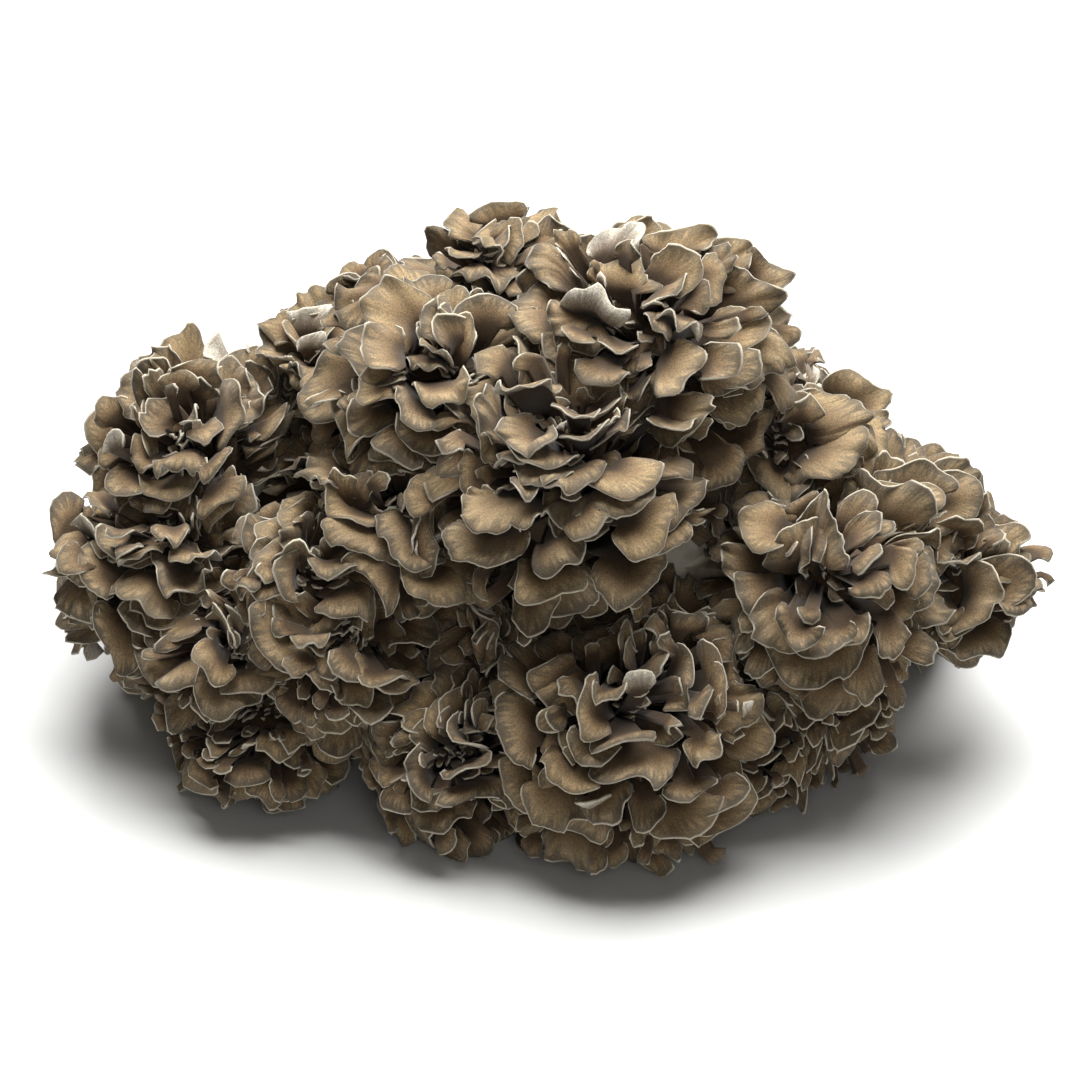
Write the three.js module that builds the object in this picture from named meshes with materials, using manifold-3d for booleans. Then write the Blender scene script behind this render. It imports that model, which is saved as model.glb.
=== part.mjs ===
// A maitake (hen of the woods): rosettes of overlapping fan-shaped fronds, crowded together on the
// branches of one thick fleshy stem that is cut flat underneath. Millimetres, +Z up. The origin is the
// centre of the cut face that the mushroom rests on, and -Y is its front.
import * as THREE from "three";
import { mergeVertices } from "three/addons/utils/BufferGeometryUtils.js";
import Module from "manifold-3d";

const wasm = await Module();
wasm.setup();

// ---------------------------------------------------------------- driving dimensions

// Each rosette: the centre that its fronds grow from, how far its axis leans from upright and towards
// which compass heading (degrees, 0 = +X, -90 = the front), and how far its fronds reach.
const ROSETTES = [
  { name: "crown_back", centre: [-12, 46, 158], lean: 18, heading: -95, reach: 46 },
  { name: "crown_right", centre: [38, -4, 158], lean: 28, heading: -55, reach: 66 },
  { name: "crown_left", centre: [-42, -4, 146], lean: 36, heading: -125, reach: 58 },
  { name: "crown_front", centre: [12, -46, 128], lean: 52, heading: -88, reach: 72 },
  { name: "crown_skirt", centre: [-52, -32, 94], lean: 66, heading: -118, reach: 62 },
  { name: "left_upper", centre: [-138, 20, 96], lean: 32, heading: -118, reach: 56 },
  { name: "left_outer", centre: [-150, -16, 66], lean: 52, heading: -142, reach: 54 },
  { name: "left_front", centre: [-90, -52, 82], lean: 50, heading: -95, reach: 62 },
  { name: "left_lower", centre: [-126, -52, 54], lean: 60, heading: -112, reach: 52 },
  { name: "bottom_upper", centre: [-18, -58, 60], lean: 66, heading: -100, reach: 48 },
  { name: "left_shoulder", centre: [-86, 40, 126], lean: 26, heading: -170, reach: 48 },
  { name: "left_back", centre: [-58, 60, 130], lean: 30, heading: 125, reach: 42 },
  { name: "foot_left", centre: [-112, -70, 24], lean: 70, heading: -98, reach: 50 },
  { name: "bottom_front", centre: [38, -84, 42], lean: 58, heading: -88, reach: 72 },
  { name: "bottom_left", centre: [-44, -82, 32], lean: 66, heading: -106, reach: 50 },
  { name: "bottom_right", centre: [90, -86, 26], lean: 66, heading: -68, reach: 38 },
  { name: "right_front", centre: [114, -58, 88], lean: 42, heading: -82, reach: 58 },
  { name: "right_top", centre: [102, 2, 112], lean: 30, heading: -70, reach: 54 },
  { name: "right_upper", centre: [142, -24, 98], lean: 40, heading: -30, reach: 44 },
  { name: "right_rear", centre: [144, 18, 84], lean: 44, heading: 15, reach: 42 },
  { name: "right_outer", centre: [166, -28, 74], lean: 60, heading: -22, reach: 44 },
  { name: "right_lower", centre: [114, -62, 42], lean: 74, heading: -64, reach: 50 },
  { name: "back_upper", centre: [14, 82, 112], lean: 46, heading: 85, reach: 52 },
  { name: "back_left", centre: [-74, 84, 76], lean: 60, heading: 112, reach: 54 },
  { name: "back_right", centre: [82, 62, 72], lean: 56, heading: 58, reach: 52 },
  { name: "side_left", centre: [-136, 54, 50], lean: 64, heading: 152, reach: 48 },
  { name: "back_lower", centre: [10, 104, 50], lean: 72, heading: 90, reach: 54 },
  { name: "back_foot", centre: [88, 84, 38], lean: 70, heading: 60, reach: 46 },
  { name: "side_right", centre: [138, 28, 38], lean: 76, heading: 12, reach: 44 },
  { name: "foot_side", centre: [-148, 2, 32], lean: 78, heading: -172, reach: 42 },
];

const RING_STEP = 17; // a rosette has one ring of fronds for each such length of its reach, mm
const FROND_WIDTH = 57; // width that each frond of a ring takes at its margin, mm
const FROND_THICK = 1.7; // thickness of a frond, mm
const MARGIN_STEPS = 5; // straight edges along the margin of a frond
const INNER_TILT = 12; // degrees from the rosette's axis to its innermost fronds
const OUTER_TILT = 116; // and to its outermost ones, which droop below its centre
const LEAST_OPEN = 40; // a rosette opens at least this far where neighbours crowd it, degrees
const WIDEST_HALF_TURN = 0.9; // half of the widest turn round the axis that one frond takes, radians
const ROOT_SHARE = 0.45; // where a frond's root lies, as a share of the rosette's reach
const CORE_SHARE = 0.55; // the core's radius, as a share of the rosette's reach
const SMALLEST_FROND = 0.45; // a frond that has to be shorter than this share of its length is left out
const WALL_GAP = 0.5; // free space that a rosette keeps to the plane between it and the next, mm
const FLOOR_GAP = 1.5; // lowest height that a rosette may reach, mm
const FIT_GAP = 0.4; // gap round the stem where it runs into a rosette, mm

const STEM = { centre: [0, 4, 60], semiAxes: [104, 58, 42] }; // the thick fused flesh in the middle
const FOOT = { centre: [0, 2], semiAxes: [84, 58], height: 46, taper: 0.86 }; // its cut underside
const BRANCH_ROOT_RADIUS = 15; // a branch where it leaves the stem, mm
const BRANCH_TIP_SHARE = 0.5; // a branch's radius in its rosette, as a share of the core's radius

const MATERIALS = {
  cap: new THREE.MeshStandardMaterial({ color: 0x8a6f4c, roughness: 0.85, metalness: 0 }),
  flesh: new THREE.MeshStandardMaterial({ color: 0xd9d2c2, roughness: 0.8, metalness: 0 }),
};

// ---------------------------------------------------------------- small helpers

const radians = THREE.MathUtils.degToRad;
const GOLDEN_ANGLE = Math.PI * (3 - Math.sqrt(5));

// A repeatable stream of numbers from 0 to 1 for one frond.
function seededDraw(seed) {
  let state = (seed * 2654435761) >>> 0;
  return () => {
    state = (Math.imul(state, 1664525) + 1013904223) >>> 0;
    return state / 4294967296;
  };
}

// A closed geometry as a solid.
function solidOf(geometry) {
  geometry.deleteAttribute("normal");
  geometry.deleteAttribute("uv");
  const merged = mergeVertices(geometry, 1e-4);
  return new wasm.Manifold(
    new wasm.Mesh({
      numProp: 3,
      vertProperties: merged.attributes.position.array,
      triVerts: new Uint32Array(merged.index.array),
    }),
  );
}

// A solid as a three.js geometry.
function geometryOf(solid) {
  const mesh = solid.getMesh();
  const geometry = new THREE.BufferGeometry();
  geometry.setAttribute("position", new THREE.BufferAttribute(mesh.vertProperties, 3));
  geometry.setIndex(new THREE.BufferAttribute(mesh.triVerts, 1));
  return geometry;
}

const largestOf = (solid) => solid.decompose().sort((a, b) => b.volume() - a.volume())[0];

// ---------------------------------------------------------------- rosettes and their space

function frameOf({ centre, lean, heading, reach }) {
  const tip = radians(lean);
  const turn = radians(heading);
  const axis = new THREE.Vector3(
    Math.sin(tip) * Math.cos(turn),
    Math.sin(tip) * Math.sin(turn),
    Math.cos(tip),
  );
  const side = new THREE.Vector3(-Math.sin(turn), Math.cos(turn), 0);
  return { centre: new THREE.Vector3(...centre), axis, side, brow: axis.clone().cross(side), reach };
}

const FRAMES = ROSETTES.map(frameOf);

// The planes that a rosette stays behind: one towards each neighbour, where their reaches meet, and one
// just above the surface that the mushroom rests on.
function wallsOf(frame) {
  const walls = [{ normal: new THREE.Vector3(0, 0, -1), offset: -FLOOR_GAP }];
  for (const other of FRAMES) {
    const normal = other.centre.clone().sub(frame.centre);
    const distance = normal.length();
    if (other === frame || distance > frame.reach + other.reach) continue;
    normal.normalize();
    const meeting = (distance ** 2 + frame.reach ** 2 - other.reach ** 2) / (2 * distance);
    const away = THREE.MathUtils.clamp(meeting, 0.35 * distance, 0.65 * distance);
    walls.push({ normal, offset: normal.dot(frame.centre) + away - WALL_GAP });
  }
  return walls;
}

// The distance from a point to the nearest of some walls, negative beyond it.
const roomAt = (walls, point) => Math.min(...walls.map((w) => w.offset - w.normal.dot(point)));

// A point moved back until it is a gap behind each wall.
function heldBehind(walls, point, gap) {
  for (const wall of [...walls, ...walls]) {
    const over = wall.normal.dot(point) - wall.offset + gap;
    if (over > 0) point.addScaledVector(wall.normal, -over);
  }
  return point;
}

// ---------------------------------------------------------------- fronds

// The direction away from a rosette's axis at a turn round it.
function outwardAt(frame, turn) {
  const outward = frame.side.clone().multiplyScalar(Math.cos(turn));
  return outward.addScaledVector(frame.brow, Math.sin(turn));
}

// How far from its axis a rosette can open at a turn round it before a wall is in the way, radians.
function openTilt(frame, walls, turn) {
  const outward = outwardAt(frame, turn);
  for (let degrees = OUTER_TILT; degrees > LEAST_OPEN; degrees -= 2) {
    const tip = frame.axis.clone().multiplyScalar(Math.cos(radians(degrees)));
    tip.addScaledVector(outward, Math.sin(radians(degrees)));
    tip.multiplyScalar(0.85 * frame.reach).add(frame.centre);
    if (roomAt(walls, tip) > 0) return radians(degrees);
  }
  return radians(LEAST_OPEN);
}

// A rosette's fronds stand in rings round its axis, from upright ones in the middle to broad drooping
// ones at the edge, each ring turned against the last so that its fronds cover the gaps. Where a
// neighbour crowds the rosette, all of them stand up together.
function frondsOf(frame, walls, seed) {
  const rings = Math.max(2, Math.round(frame.reach / RING_STEP));
  const fronds = [];
  for (let ring = 0; ring < rings; ring++) {
    const share = ring / (rings - 1);
    const tilt = radians(INNER_TILT + (OUTER_TILT - INNER_TILT) * share);
    const round = 2 * Math.PI * frame.reach * Math.sin(tilt);
    const count = Math.max(2, Math.round(round / FROND_WIDTH));
    for (let place = 0; place < count; place++) {
      const draw = seededDraw(seed + 20 * ring + place);
      const length = frame.reach * (1 - ROOT_SHARE + 0.1 * (draw() - 0.5));
      const turn = ((place + 0.1 * (draw() - 0.5)) * 2 * Math.PI) / count + ring * GOLDEN_ANGLE;
      const crowding = openTilt(frame, walls, turn) / radians(OUTER_TILT);
      fronds.push({
        turn,
        tilt: (tilt + 0.08 * (draw() - 0.5)) * crowding,
        length,
        halfTurn: Math.min(Math.PI / count, WIDEST_HALF_TURN),
        cup: 0.2 * (draw() - 0.5),
        roll: 0.22 + 0.06 * (draw() - 0.5),
        ruffle: frame.reach * (0.03 + 0.04 * draw()),
        waves: 1.0 + 1.0 * draw(),
        phase: 2 * Math.PI * draw(),
        lobe: 0.04 + 0.05 * draw(),
      });
    }
  }
  return fronds;
}

// The point of a frond's middle surface at across (-1 to 1) and along (0 at the root, 1 at the margin).
// The surface is what an outward-bending arc sweeps round the rosette's axis, with a rounded and lobed
// margin, rolled so that each frond's edge passes over its neighbour's, and ruffled towards the margin.
function frondPoint(frame, frond, across, along) {
  const wave = Math.PI * frond.waves * across + frond.phase;
  const margin = 1 - 0.2 * across ** 4 + frond.lobe * Math.sin(1.7 * wave);
  const rootTilt = 0.8 * frond.tilt;
  const tipTilt = 1.25 * frond.tilt + 0.1;
  const bend = rootTilt + (tipTilt - rootTilt) * along * margin;
  const arc = frond.length / (tipTilt - rootTilt);
  const root = frame.reach * ROOT_SHARE;
  const rise = root * Math.cos(rootTilt) + arc * (Math.sin(bend) - Math.sin(rootTilt));
  const out = root * Math.sin(rootTilt) + arc * (Math.cos(rootTilt) - Math.cos(bend));
  const swing = across * frond.halfTurn * (0.7 + 0.3 * along);
  const sideways = out * Math.sin(swing);
  const lift =
    (frond.cup * sideways ** 2) / frond.length +
    frond.roll * sideways +
    frond.ruffle * along ** 2 * Math.sin(wave);
  return frame.centre
    .clone()
    .addScaledVector(frame.axis, rise + lift * Math.sin(bend))
    .addScaledVector(outwardAt(frame, frond.turn + swing), out - lift * Math.cos(bend));
}

// A frond that would press through a wall stands up and grows shorter until it is clear, or is left out.
function settled(frame, walls, frond) {
  for (let share = 1; share >= SMALLEST_FROND; share -= 0.09) {
    const tried = { ...frond, tilt: frond.tilt * (0.45 + 0.55 * share), length: frond.length * share };
    const clear = [-1, -0.5, 0, 0.5, 1].every((across) =>
      [0.6, 1].every((along) => roomAt(walls, frondPoint(frame, tried, across, along)) > 1),
    );
    if (clear) return tried;
  }
  return null;
}

// One frond as a closed blade: a root, a point in the middle and the margin, on both faces.
function bladeOf(frame, walls, frond) {
  const places = [[0, 0], [0, 0.55]];
  for (let i = 0; i <= MARGIN_STEPS; i++) places.push([(2 * i) / MARGIN_STEPS - 1, 1]);
  const points = places.map(([across, along]) =>
    heldBehind(walls, frondPoint(frame, frond, across, along), FROND_THICK / 2 + 0.1),
  );
  const normal = frame.axis.clone().multiplyScalar(Math.sin(frond.tilt));
  normal.addScaledVector(outwardAt(frame, frond.turn), -Math.cos(frond.tilt));
  const last = points.length - 1;
  const faces = [[0, 1, 2], [0, last, 1]];
  for (let i = 2; i < last; i++) faces.push([1, i + 1, i]);
  const position = [];
  for (const half of [FROND_THICK / 2, -FROND_THICK / 2]) {
    for (const p of points) position.push(...p.clone().addScaledVector(normal, half).toArray());
  }
  const index = [];
  for (const [a, b, c] of faces) index.push(a, c, b, a + last + 1, b + last + 1, c + last + 1);
  for (let a = 0; a <= last; a++) {
    if (a === 1) continue;
    const b = a === 0 ? 2 : (a + 1) % (last + 1);
    index.push(a, b + last + 1, b, a, a + last + 1, b + last + 1);
  }
  const geometry = new THREE.BufferGeometry();
  geometry.setAttribute("position", new THREE.Float32BufferAttribute(position, 3));
  geometry.setIndex(index);
  return solidOf(geometry);
}

// The fleshy middle that a rosette's fronds grow out of, trimmed where it meets the walls.
function coreOf(frame, walls) {
  const ball = new THREE.IcosahedronGeometry(frame.reach * CORE_SHARE, 0);
  let core = solidOf(ball.translate(...frame.centre.toArray()));
  for (const wall of walls) core = core.trimByPlane(wall.normal.clone().negate().toArray(), -wall.offset);
  return core;
}

// A rosette is its core and the fronds that have room, as one solid.
function rosetteOf(frame, index) {
  const walls = wallsOf(frame);
  const blades = frondsOf(frame, walls, 1000 * (index + 1))
    .map((frond) => settled(frame, walls, frond))
    .filter((frond) => frond)
    .map((frond) => bladeOf(frame, walls, frond));
  return wasm.Manifold.union([coreOf(frame, walls), ...blades]);
}

// ---------------------------------------------------------------- stem

// A branch from the stem into a rosette's core.
function branchOf(frame, grow) {
  const radius = Math.min(frame.reach * CORE_SHARE, roomAt(wallsOf(frame), frame.centre));
  const [x, y, z] = frame.centre.toArray();
  const start = new THREE.Vector3(0.45 * x, 0.25 * y, STEM.centre[2] + 0.1 * (z - STEM.centre[2]));
  const run = frame.centre.clone().sub(start);
  run.setLength(run.length() - BRANCH_TIP_SHARE * radius + grow);
  const cone = new THREE.CylinderGeometry(
    BRANCH_TIP_SHARE * radius + grow,
    BRANCH_ROOT_RADIUS + grow,
    run.length(),
    6,
  );
  cone.translate(0, run.length() / 2, 0);
  const turned = new THREE.Quaternion().setFromUnitVectors(
    new THREE.Vector3(0, 1, 0),
    run.clone().normalize(),
  );
  return solidOf(cone.applyQuaternion(turned).translate(...start.toArray()));
}

// The stem with all of its branches, grown by a margin on every side.
function stemOf(grow) {
  const flesh = new THREE.IcosahedronGeometry(1, 1);
  flesh.scale(...STEM.semiAxes.map((a) => a + grow)).translate(...STEM.centre);
  const height = FOOT.height;
  const foot = new THREE.CylinderGeometry(1, FOOT.taper, height, 14);
  foot.rotateX(Math.PI / 2).scale(FOOT.semiAxes[0] + grow, FOOT.semiAxes[1] + grow, 1);
  foot.translate(...FOOT.centre, height / 2);
  const parts = [solidOf(flesh), solidOf(foot), ...FRAMES.map((frame) => branchOf(frame, grow))];
  return wasm.Manifold.union(parts);
}

// ---------------------------------------------------------------- the mushroom

function meshOf(name, solid, material) {
  const mesh = new THREE.Mesh(geometryOf(solid), material);
  mesh.name = name;
  return mesh;
}

const mushroom = new THREE.Group();
mushroom.add(meshOf("stem", stemOf(0), MATERIALS.flesh));
const clearance = stemOf(FIT_GAP);
FRAMES.forEach((frame, index) => {
  const rosette = largestOf(rosetteOf(frame, index).subtract(clearance));
  mushroom.add(meshOf(ROSETTES[index].name, rosette, MATERIALS.cap));
});

export default mushroom;
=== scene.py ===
# %% [markdown]
# # A maitake mushroom
# The imported model already holds the whole mushroom as solids: one thick stem, and rosettes of broad
# fronds crowded on its branches. This lesson dresses it. Each rosette is made again with many more and
# finer fronds inside nearly the same dome, and the stem gets a smooth fleshy surface. The imported solids
# are loaded first, because the stem is one of them.

import math
import random

import bmesh
import bpy
import numpy as np
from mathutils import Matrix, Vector


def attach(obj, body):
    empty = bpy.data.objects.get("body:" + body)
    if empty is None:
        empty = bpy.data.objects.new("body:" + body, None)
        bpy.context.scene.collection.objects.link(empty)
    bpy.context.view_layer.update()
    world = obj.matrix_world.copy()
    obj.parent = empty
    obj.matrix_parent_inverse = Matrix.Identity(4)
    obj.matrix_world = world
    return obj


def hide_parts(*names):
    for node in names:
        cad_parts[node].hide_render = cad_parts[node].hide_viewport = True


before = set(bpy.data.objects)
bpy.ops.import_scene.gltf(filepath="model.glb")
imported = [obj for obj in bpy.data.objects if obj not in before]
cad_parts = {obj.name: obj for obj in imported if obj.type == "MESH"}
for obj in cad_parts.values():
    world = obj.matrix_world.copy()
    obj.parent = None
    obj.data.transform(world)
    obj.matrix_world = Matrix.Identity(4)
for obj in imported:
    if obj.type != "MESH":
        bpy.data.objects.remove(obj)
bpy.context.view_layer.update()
MM = 0.001

# %% [markdown]
# The camera comes before the shapes, so that each piece can be judged as it will be seen: from the
# front, 35 degrees above the table, through a long lens from far off. A long lens keeps the near and
# the far rosettes at almost the same scale, as in a product picture. Its place is worked out from the
# angle, so that one number moves the whole view.

# %% Camera
# distances and the width of the view in metres, the sensor in millimetres
VIEW_ELEVATION = math.radians(35)
VIEW_DISTANCE, FARTHEST_SEEN = 3.0, 100
VIEW_WIDTH = 0.4428
AIM = Vector((-0.0008, 0.0, 0.0731))
SENSOR_WIDTH = 36


def add_camera():
    """A long-lens camera in front of the mushroom, looking down on it."""
    data = bpy.data.cameras.new("camera")
    data.sensor_width = SENSOR_WIDTH
    data.lens = data.sensor_width * VIEW_DISTANCE / VIEW_WIDTH
    data.clip_end = FARTHEST_SEEN
    camera = bpy.data.objects.new("camera", data)
    away = Vector((0, -math.cos(VIEW_ELEVATION), math.sin(VIEW_ELEVATION)))
    camera.location = AIM + VIEW_DISTANCE * away
    camera.rotation_euler = (math.pi / 2 - VIEW_ELEVATION, 0, 0)
    bpy.context.scene.collection.objects.link(camera)
    bpy.context.scene.camera = camera
    return camera


print("lens", round(add_camera().data.lens), "mm")

# %% [markdown]
# Soft studio light: one large lamp high above, a weaker one at the front and a dim, warm surround. A
# lamp that is large beside the mushroom gives soft shadows, and keeping the surround dim leaves the
# crevices between the fronds nearly black, which is what makes the pale margins stand out.

# %% Light and floor
# name, place (m), size (m), power (W)
LAMPS = (
    ("lamp_above", (0.08, 0.45, 1.6), 1.6, 101.0),
    ("lamp_front", (0.2, -1.6, 1.1), 0.8, 5.0),
)
SURROUND = 0.053
SURROUND_COLOUR = (1, 0.95, 0.86, 1)
FLOOR_SIZE = 12.0


def add_lamp(name, place, size, power):
    """A square lamp that points at the mushroom."""
    data = bpy.data.lights.new(name, "AREA")
    data.size = size
    data.energy = power
    lamp = bpy.data.objects.new(name, data)
    lamp.location = place
    lamp.rotation_euler = (AIM - lamp.location).to_track_quat("-Z", "Y").to_euler()
    bpy.context.scene.collection.objects.link(lamp)


for lamp in LAMPS:
    add_lamp(*lamp)
world = bpy.data.worlds.new("surround")
world.use_nodes = True
background = world.node_tree.nodes["Background"]
background.inputs["Color"].default_value = SURROUND_COLOUR
background.inputs["Strength"].default_value = SURROUND
bpy.context.scene.world = world
bpy.context.scene.view_settings.view_transform = "Standard"

floor_mesh = bmesh.new()
bmesh.ops.create_grid(floor_mesh, x_segments=1, y_segments=1, size=FLOOR_SIZE / 2)
floor_data = bpy.data.meshes.new("floor")
floor_mesh.to_mesh(floor_data)
floor_mesh.free()
floor = bpy.data.objects.new("floor", floor_data)
bpy.context.scene.collection.objects.link(floor)
print(len(LAMPS), "lamps")

# %% [markdown]
# Materials are built from small helpers. A node is added with its inputs given by name, and a link is
# made where an input is another node's output. That keeps each recipe short enough to read as a list
# of steps.

# %% Node helpers


def node(tree, kind, inputs=None, **settings):
    """Adds a node, sets its settings, and gives or links its inputs."""
    made = tree.nodes.new(kind)
    for name, value in settings.items():
        setattr(made, name, value)
    for name, value in (inputs or {}).items():
        if isinstance(value, bpy.types.NodeSocket):
            tree.links.new(value, made.inputs[name])
        else:
            made.inputs[name].default_value = value
    return made


def step(tree, value, low, high, to_low=0.0, to_high=1.0):
    """A smooth ramp of a value from low to high."""
    inputs = {"Value": value, "From Min": low, "From Max": high, "To Min": to_low, "To Max": to_high}
    return node(tree, "ShaderNodeMapRange", inputs, interpolation_type="SMOOTHSTEP").outputs[0]


def sums(tree, operation, first, second):
    """One sum on two values."""
    return node(tree, "ShaderNodeMath", {0: first, 1: second}, operation=operation).outputs[0]


def blended(tree, share, first, second, blend="MIX"):
    """Two colours mixed by a share."""
    inputs = {"Factor": share, 6: first, 7: second}
    return node(tree, "ShaderNodeMix", inputs, data_type="RGBA", blend_type=blend).outputs[2]


def colour(red, green, blue):
    """A display colour from 0 to 255 as the linear one that nodes use."""
    def linear(value):
        share = value / 255
        return share / 12.92 if share <= 0.04045 else ((share + 0.055) / 1.055) ** 2.4

    return (linear(red), linear(green), linear(blue), 1.0)


def new_material(name):
    """A material with a bare Principled shader. Gives its tree and the shader."""
    material = bpy.data.materials.new(name)
    material.use_nodes = True
    return material, material.node_tree, material.node_tree.nodes["Principled BSDF"]


print("white is", colour(255, 255, 255))

# %% [markdown]
# Both the skin of the fronds and the flesh of the stem have a fine dry grain, like suede, and slow
# changes of tone. It is one node group that both materials share, each with its own two scales. It
# reads Object coordinates, in metres, so the grain has the same real size everywhere.

# %% Grain, shared by skin and flesh


def make_grain_group():
    """Node group: a fine grain and a slow mottling, both from 0 to 1."""
    group = bpy.data.node_groups.new("dry_grain", "ShaderNodeTree")
    for name in ("Grain scale", "Mottle scale"):
        group.interface.new_socket(name, in_out="INPUT", socket_type="NodeSocketFloat")
    for name in ("Grain", "Mottle"):
        group.interface.new_socket(name, in_out="OUTPUT", socket_type="NodeSocketFloat")
    given = node(group, "NodeGroupInput")
    place = node(group, "ShaderNodeTexCoord").outputs["Object"]
    fine = {"Vector": place, "Scale": given.outputs["Grain scale"], "Detail": 3.0, "Roughness": 0.6}
    slow = {"Vector": place, "Scale": given.outputs["Mottle scale"], "Detail": 4.0, "Roughness": 0.6}
    grain = node(group, "ShaderNodeTexNoise", fine).outputs["Fac"]
    mottle = node(group, "ShaderNodeTexNoise", slow).outputs["Fac"]
    node(group, "NodeGroupOutput", {"Grain": grain, "Mottle": mottle})
    return group


GRAIN = make_grain_group()
print(GRAIN.name, len(GRAIN.nodes), "nodes")


def grain_in(tree, grain_scale, mottle_scale):
    """Places the grain group in a material."""
    inputs = {"Grain scale": grain_scale, "Mottle scale": mottle_scale}
    placed = node(tree, "ShaderNodeGroup", node_tree=GRAIN)
    for name, value in inputs.items():
        placed.inputs[name].default_value = value
    return placed.outputs["Grain"], placed.outputs["Mottle"]


# %% [markdown]
# The skin changes along each frond: darker inwards and dark at the root, which is partly the real
# darker brown of the root and partly painted shade of the fronds over it and of the crevices, warm tan
# in the middle, a grey-brown band with dark radial streaks near the margin, and a thin pale margin.
# The underside is cream, with soft ribs. A picture could carry that, but here each frond's mesh carries
# two attributes instead: growth (millimetres across, how far along, a tint of its own) and edge
# (millimetres to the margin, below zero on the underside). Then the bands keep their real width on a
# large frond and on a small one.

# %% Skin of the fronds
# how fine the grain and the mottling are (per metre)
SKIN_GRAIN, SKIN_MOTTLE = 1400.0, 90.0
# streaks: how fine across (per mm) and along, and how far apart two fronds' streaks are taken
STREAKS_ACROSS, STREAKS_ALONG, STREAKS_APART = 0.8, 2.6, 40.0
# how far the dark band reaches in from the margin, where the pale rim begins and is full, and how far
# the grain moves it (mm)
SHORTEST_FINGER, LONGEST_FINGER = 2.5, 9.0
RIM_FROM, RIM_TO, RIM_RAGGED = 1.1, 0.45, 0.7
# steps: from, to and, where they are not 0 and 1, what a step gives there
NOISE_RANGE = (0.3, 0.7)
# golden by the frond's tint, darker where a streak is dark, from short fingers to long ones
GOLDEN, STREAKED, FINGERED = (0.4, 1.0, 0.0, 0.6), (0.35, 0.6, 0.25, 0.0), (0.38, 0.62)
# how strong the band is by the tint, how it fades inwards, and the ribs of the underside
BAND_DEPTH, BAND_FADE, RIBBED = (0.1, 0.9, 0.9, 0.7), (1.3, 0.1, 0.0), (0.35, 0.65)
# painted shade: darker brown inside and dark at the root, by the way along; partly the real darker brown
# of the root and partly the shade of overlapping fronds and crevices
INNER_SHADE_STEP, ROOT_SHADE_STEP = (0.92, 0.55, 0.0, 0.7), (0.66, 0.36, 0.0, 0.97)
# what the grain multiplies the colour by, and the roughness by the mottling
SPECKLE, SKIN_ROUGHNESS = (0.62, 1.18), (0.72, 0.9)
TAN = colour(156, 136, 104)
TAN_SHADE = colour(131, 111, 80)
GOLD = colour(169, 144, 103)
UMBER = colour(98, 77, 48)
BAND = colour(64, 56, 44)
# painted shade with some real colour: the next two darken the inside and the root, partly the real darker
# brown of the root and partly the shade of the fronds over it and of the crevices
INNER_SHADE_AND_BROWN = colour(88, 63, 32)
ROOT_BROWN_AND_SHADE = colour(60, 42, 18)
MARGIN = colour(184, 176, 157)
CREAM = colour(196, 189, 175)
CREAM_SHADE = colour(166, 156, 138)


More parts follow.
